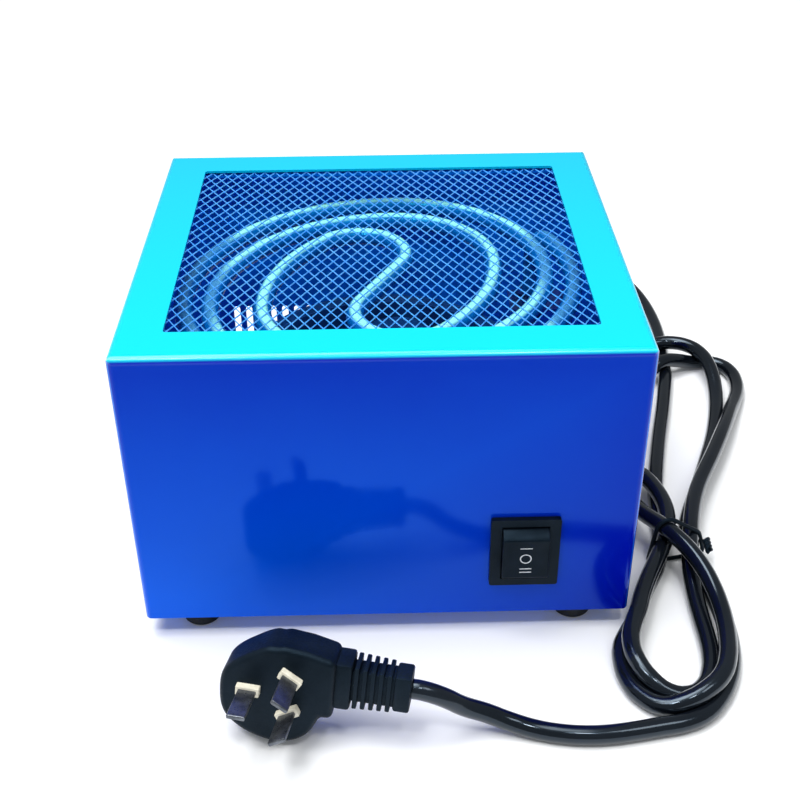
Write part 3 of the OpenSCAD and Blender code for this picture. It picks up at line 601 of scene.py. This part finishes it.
bpy.ops.object.select_all(action="DESELECT")
bpy.ops.mesh.primitive_grid_add(x_subdivisions=cells, y_subdivisions=cells, size=cells / math.sqrt(2),
                                location=(0, 0, 0))
mesh_screen = bpy.context.object
mesh_screen.name = "expanded_mesh"
bpy.ops.object.mode_set(mode="EDIT")
bpy.ops.transform.rotate(value=math.radians(45), orient_axis="Z", center_override=(0, 0, 0))
bpy.ops.transform.resize(value=(mesh_short, mesh_long, 1), center_override=(0, 0, 0))
for side, normal in (((half_x, 0, 0), (1, 0, 0)), ((-half_x, 0, 0), (-1, 0, 0)),
                     ((0, half_y, 0), (0, 1, 0)), ((0, -half_y, 0), (0, -1, 0))):
    bpy.ops.mesh.select_all(action="SELECT")
    bpy.ops.mesh.bisect(plane_co=side, plane_no=normal, clear_outer=True)
bpy.ops.object.mode_set(mode="OBJECT")
strands = mesh_screen.modifiers.new("strands", "WIREFRAME")
strands.thickness = strand_width
strands.use_boundary = True
strands.use_even_offset = False
bpy.ops.object.modifier_apply(modifier="strands")
bpy.ops.object.mode_set(mode="EDIT")
bpy.ops.mesh.select_all(action="SELECT")
bpy.ops.transform.resize(value=(1, 1, strand_thick / strand_width), center_override=(0, 0, 0))
bpy.ops.transform.translate(value=mesh_mid)
bpy.ops.object.mode_set(mode="OBJECT")
mesh_coat = plain_finish("mesh_coat", (0.05, 0.37, 1.0), (0.11, 0.47, 1.0), (0.25, 0.4),
                         mottle=60, grain=1500, depth=0.00003, coat=0.3, coat_rough=0.12)
mesh_screen.data.materials.append(mesh_coat)
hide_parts("mesh_screen")
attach(mesh_screen, "box")


# ---------------------------------------------------------------------------
# Mains lead. One round cord of black PVC that comes out of the gland, bows down
# to the floor and lies there in two tied turns, and then runs on to its plug.
cord_diameter = 7 * mm
cord_radius = cord_diameter / 2
gland_mouth = (45, 114, 34)
lead_points = [
    gland_mouth, (47, 134, 33), (54, 154, 30), (67, 173, 26), (85, 188, 21), (108, 197, 15),
    (129, 192, 10), (141, 176, 6), (146, 156, 4), (147, 136, 3.5), (146, 122, 3.5),
]
first_turn = [
    (142, 91, 3.5), (136, 64, 3.5), (129, 39, 3.5), (124, 19, 3.5), (120, 2, 3.5), (117, -15, 3.5),
    (115.5, -30, 3.5), (113, -45, 3.5), (107, -59, 3.5), (98, -73, 3.5), (91, -86, 3.5),
    (87, -98, 3.5), (87, -110, 3.5), (90, -121, 3.5), (98, -128, 3.5), (106, -129, 4),
    (114, -126, 6.5), (121, -119, 10.5), (125, -106, 11), (127, -93, 11), (127, -81, 12),
    (125, -69, 14.5), (120, -57, 17.5), (113, -44, 17.5), (107, -31, 14), (104, -14, 10.5),
]
second_turn = [
    (106, 6, 9), (107, 32, 9), (110, 56, 6.5), (122, 79, 4), (142, 95, 3.5), (156, 102, 3.5),
    (167, 104, 3.5), (175, 99, 3.5), (177, 89, 3.5), (175, 75, 3.5), (167, 57, 6), (158, 36, 9.5),
    (146, 11, 10.5), (137, -6, 10.5), (131, -21, 10.5), (127, -35, 10.5), (124, -49, 9.5),
    (122, -64, 5), (121, -80, 3.5), (121, -95, 3.5), (119.5, -108, 3.5), (115, -120, 3.5),
    (107, -125.5, 3.5), (98, -123, 4), (92, -116, 7.5), (89, -108, 10), (90, -98, 10.5),
    (94, -87, 10.5), (99, -75, 10.5), (106, -61, 10.5), (112.5, -48, 10.5), (117, -36, 10.5),
    (119, -23, 10.5), (117, -10, 10.5), (112, 3, 10.5), (105, 16, 7), (100, 33, 4), (101, 60, 3.5),
    (108, 86, 4), (122, 101, 7), (139, 112, 9.5),
]
last_turn = [
    (153, 111, 10.5), (161, 103, 10.5), (164, 87, 9.5), (163, 70, 4.5), (156, 43, 3.5),
    (145, 15, 3.5), (135, -9, 3.5), (128, -25, 3.5), (125.5, -40, 3.5), (127, -56, 3.5),
    (129, -71, 3.5), (130, -85, 3.5), (129, -99, 3.5), (126, -111, 3.5), (118, -123, 3.5),
    (107, -132, 3.5), (94, -136, 3.5),
]
tail_points = [
    (80, -139, 3.5), (66, -139.5, 3.5), (55, -137.5, 3.5), (46, -135, 4.5), (38, -133.5, 7),
    (31, -133, 10.5), (24, -133.5, 14),
]
cord_step = 4.5 * mm
strand_gap = cord_diameter * 1.02
wall_clear = 0.3 * mm
# settling: steps of the line that never push each other, and steps held at either end
neighbours, held_at_gland, held_at_plug = 8, 8, 12
# settling: shares of each round's corrections
even_out, straighten, pull_back, push_apart = 0.4, 0.05, 0.035, 0.3
cover_lo, cover_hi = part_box("cover")


def smooth_line(points, step):
    """Points a step apart on a smooth curve through the given ones."""
    ends = [2 * points[0] - points[1], *points, 2 * points[-1] - points[-2]]
    fine = []
    for a, b, c, d in zip(ends, ends[1:], ends[2:], ends[3:]):
        for i in range(16):
            t = i / 16
            fine.append(0.5 * (2 * b + (c - a) * t + (2 * a - 5 * b + 4 * c - d) * t * t
                               + (3 * b - a - 3 * c + d) * t ** 3))
    fine.append(points[-1])
    fine = np.array(fine)
    run = np.concatenate([[0], np.cumsum(np.linalg.norm(np.diff(fine, axis=0), axis=1))])
    count = int(round(run[-1] / step)) + 1
    even = np.linspace(0, run[-1], count)
    return np.stack([np.interp(even, run, fine[:, k]) for k in range(3)], axis=1)


def settle(line, rounds=240):
    """Lets the cord lie: strands part, bends even out, and it stays out of the floor and the case."""
    wanted = line.copy()
    count = len(line)
    apart = np.abs(np.subtract.outer(np.arange(count), np.arange(count))) > neighbours
    held = np.zeros(count, bool)
    held[:held_at_gland] = held[-held_at_plug:] = True
    side_x = cover_hi.x + cord_radius + wall_clear
    front_y = cover_lo.y - cord_radius - wall_clear
    back_y = cover_hi.y + cord_radius + wall_clear
    for _ in range(rounds):
        middle = (np.roll(line, 1, axis=0) + np.roll(line, -1, axis=0)) / 2
        bend = middle - line
        bend[0] = bend[-1] = 0
        spread = (np.roll(bend, 1, axis=0) + np.roll(bend, -1, axis=0)) / 2
        line = line + even_out * (bend - spread) + straighten * bend + pull_back * (wanted - line)
        between_strands = line[:, None] - line[None]
        distance = np.linalg.norm(between_strands, axis=2) + 1e-9
        push = np.where(apart & (distance < strand_gap), (strand_gap - distance) / distance, 0)
        line = line + push_apart * (push[:, :, None] * between_strands).sum(axis=1)
        line[:, 2] = np.maximum(line[:, 2], cord_radius)
        inside = (line[:, 0] < side_x) & (line[:, 1] > front_y) & (line[:, 1] < back_y)
        to_side = side_x - line[:, 0]
        to_front = line[:, 1] - front_y
        line[:, 0] = np.where(inside & (to_side <= to_front), side_x, line[:, 0])
        line[:, 1] = np.where(inside & (to_side > to_front), front_y, line[:, 1])
        line[held] = wanted[held]
    return line


plug_place = Matrix.Translation(Vector((-37.9, -134.8, 23.1)) * mm) @ (
    Matrix.Rotation(math.radians(-9), 4, "Z")
    @ Matrix.Rotation(math.radians(-14), 4, "X")
    @ Matrix.Rotation(math.radians(4), 4, "Y")
)
relief_up = 4.2
relief_back = 8.5
for along in (52, 47, 43.5):
    tail_points.append(tuple(plug_place @ (Vector((along, relief_back, relief_up)) * mm) / mm))
drawn = [np.array(p) * mm for p in lead_points + first_turn + second_turn + last_turn + tail_points]
cord_line = settle(smooth_line(drawn, cord_step))

curve = bpy.data.curves.new("mains_cord", "CURVE")
curve.dimensions = "3D"
curve.bevel_depth = cord_radius
curve.bevel_resolution = 6
curve.resolution_u = 3
curve.use_fill_caps = True
spline = curve.splines.new("BEZIER")
kept = list(range(0, len(cord_line), 2))
if kept[-1] != len(cord_line) - 1:
    kept.append(len(cord_line) - 1)
spline.bezier_points.add(len(kept) - 1)
for point, i in zip(spline.bezier_points, kept):
    point.co = cord_line[i]
    point.handle_left_type = point.handle_right_type = "AUTO"
mains_cord = bpy.data.objects.new("mains_cord", curve)
bpy.context.scene.collection.objects.link(mains_cord)

cord_pvc, nodes, links, shader = node_material("cord_pvc")
grained = add_grain(nodes, 26, 700)
links.new(mixed_colour(nodes, links, between(nodes, links, grained.outputs["Mottle"], 0, 1),
                       (0.002, 0.003, 0.005), (0.006, 0.008, 0.012)), shader.inputs["Base Color"])
links.new(between(nodes, links, grained.outputs["Mottle"], 0.13, 0.2), shader.inputs["Roughness"])
links.new(bumped(nodes, links, grained.outputs["Grain"], 0.00003, 0.6), shader.inputs["Normal"])
shader.inputs["Specular Tint"].default_value = (0.5, 0.7, 0.9, 1)
shader.inputs["Coat Weight"].default_value = 0.3
shader.inputs["Coat Roughness"].default_value = 0.04
mains_cord.data.materials.append(cord_pvc)
dress(["cord_gland"], cord_pvc)
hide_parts("cord_lead", "cord_hank", "cord_tail")
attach(mains_cord, "box")


# ---------------------------------------------------------------------------
# Cord tie. A wire in a black plastic strip, wound once round the waist of the
# turns and twisted together, with its two ends cut short.
tie_level = -46 * mm
tie_out = cord_radius + 1.1 * mm
tie_floor = 1.1 * mm
tie_rims = []
for before, after in zip(cord_line, cord_line[1:]):
    if (before[1] - tie_level) * (after[1] - tie_level) <= 0 and before[0] > 100 * mm:
        share = (tie_level - before[1]) / (after[1] - before[1])
        strand = before + share * (after - before)
        for i in range(24):
            turn = 2 * math.pi * i / 24
            tie_rims.append((strand[0] + tie_out * math.cos(turn),
                             max(strand[2] + tie_out * math.sin(turn), tie_floor)))


def hull(points):
    """The convex outline round flat points, anticlockwise."""
    points = sorted(set(points))
    chains = []
    for ordered in (points, points[::-1]):
        chain = []
        for p in ordered:
            while len(chain) > 1 and ((chain[-1][0] - chain[-2][0]) * (p[1] - chain[-2][1])
                                      - (chain[-1][1] - chain[-2][1]) * (p[0] - chain[-2][0])) <= 0:
                chain.pop()
            chain.append(p)
        chains += chain[:-1]
    return chains


tie_outline = hull(tie_rims)
tie_lo = np.min(tie_outline, axis=0)
tie_hi = np.max(tie_outline, axis=0)
tie_slant = 5 * mm / (tie_hi[0] - tie_lo[0])
loop = [(x, tie_level - 1 * mm + tie_slant * (x - tie_lo[0]), z) for x, z in tie_outline]
loop.append(loop[0])
tie_pieces = [tube_along("tie_loop", loop, 0.9 * mm, 4)]
twist_x, twist_y, twist_z = tie_hi[0] + 1 * mm, tie_level + 4 * mm, 8.5 * mm
twist_radius = 0.9 * mm
twist_step = 0.45 * mm
twist_fall = 0.08 * mm
for side in (0, math.pi):
    end = []
    for i in range(15):
        turn = side + 2 * math.pi * i / 8
        end.append((twist_x + twist_radius * math.cos(turn), twist_y - twist_step * i,
                    twist_z + twist_radius * math.sin(turn) - twist_fall * i))
    tie_pieces.append(tube_along("tie_end", end, 0.8 * mm, 3))
cord_tie = finished(joined(tie_pieces, "twisted_tie"))
plug_pvc = plain_finish("plug_pvc", (0.002, 0.004, 0.007), (0.006, 0.010, 0.016), (0.4, 0.55),
                        mottle=70, grain=1100, depth=0.00005, specular=0.22, tint=black_gloss_tint)
cord_tie.data.materials.append(plug_pvc)
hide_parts("cord_tie")
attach(cord_tie, "box")


# ---------------------------------------------------------------------------
# Plug. A moulded body with a flat round face and a square shoulder on one side. The
# ribbed relief leaves sideways from the shoulder, so that the cord hangs along a wall.
plug_deep = 15.4
plug_edge = 2.6
round_part = [(3, 17.2), (0.5, 17.3), (-1.6, 16.7), (-3.5, 16.8), (-6, 16), (-10, 13.6), (-15.4, 9.8),
              (-18.8, 6.4), (-20.4, 3), (-20.8, -2), (-20, -9), (-17.2, -13.8), (-11, -18), (-3, -20.3),
              (3, -20), (8, -18), (11.6, -14.6), (13.7, -10.4)]
face_outline = [(x, z) for x, _, z in smooth_line([np.array((x, 0, z)) for x, z in round_part], 1.1)]
face_outline += [(14.6, -8), (19, -8), (19, 14.4), (9, 16.6)]
plug_parts = [prism("plug_round", face_outline, plug_deep, plug_edge, 5)]


def relief_part(x0, x1, deep, high, bevel=0.6):
    """A rounded block of the relief from x0 to x1, centred behind the face."""
    block = prism("relief_part", rectangle(x0, x1, -high / 2, high / 2), deep, bevel, 2)
    block.location = (0, (relief_back - deep / 2) * mm, relief_up * mm)
    return finished(block)


# the shoulder's neck, the core, five ribs that grow lower and the end ring
plug_parts.append(relief_part(14, 24.4, 12.6, 17.6, 1.2))
plug_parts.append(relief_part(20, 44.8, 9, 11.5))
first_rib, rib_pitch, rib_wide = 25.1, 2.85, 1.6
for i in range(5):
    rib = first_rib + i * rib_pitch
    plug_parts.append(relief_part(rib, rib + rib_wide, 11.4, 15.8 - i * 0.4, 0.4))
plug_parts.append(relief_part(39.0, 44.8, 11, 13.4, 0.9))
plug_body = joined(plug_parts, "moulded_plug")
plug_body.data.transform(plug_place)
plug_body.data.materials.append(plug_pvc)
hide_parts("plug_body")
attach(plug_body, "box")

pin_wide = 6.35
pin_thick = 1.6
pin_deep = 20.5
pin_reach = 18
collar_rim = 0.95
collar_deep = 6
collar_reach = 2.6
# each pin: x and z from the middle of the face in mm, turn in degrees
pin_ring = ((-10.31, 0, 0), (3.96, 6.86, -30), (3.96, -6.86, 30))


def at_pin(name, rim, deep, bevel, reach, seat):
    """A block round a pin's section, larger by the rim, that reaches out of the face at the seat."""
    half_w, half_t = pin_wide / 2 + rim, pin_thick / 2 + rim
    block = prism(name, rectangle(-half_w, half_w, -half_t, half_t), deep, bevel)
    block.data.transform(plug_place @ seat @ Matrix.Translation((0, -reach * mm, 0)))
    return block


collars = []
pins = []
for pin_x, pin_z, turn in pin_ring:
    seat = Matrix.Translation(Vector((pin_x, 0, pin_z)) * mm)
    seat @= Matrix.Rotation(math.radians(-turn), 4, "Y")
    collars.append(at_pin("collar", collar_rim, collar_deep, 0.4, collar_reach, seat))
    pins.append(at_pin("pin", 0, pin_deep, 0.45, pin_reach, seat))
collar_nylon = plain_finish("collar_nylon", (0.66, 0.62, 0.50), (0.80, 0.77, 0.64), (0.4, 0.55),
                            mottle=300, grain=2000, depth=0.00002)
pin_steel = plain_finish("pin_steel", (0.07, 0.08, 0.095), (0.17, 0.185, 0.21), (0.25, 0.4), metal=0.85,
                         mottle=260, grain=2400, depth=0.00001)
plug_collars = joined(collars, "moulded_collars")
plug_collars.data.materials.append(collar_nylon)
plug_pins = joined(pins, "flat_pins")
plug_pins.data.materials.append(pin_steel)
for piece, node, slot in ((plug_collars, "plug_collars", "plug_collar"),
                          (plug_pins, "plug_pins", "steel_pins")):
    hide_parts(node)
    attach(piece, "box")
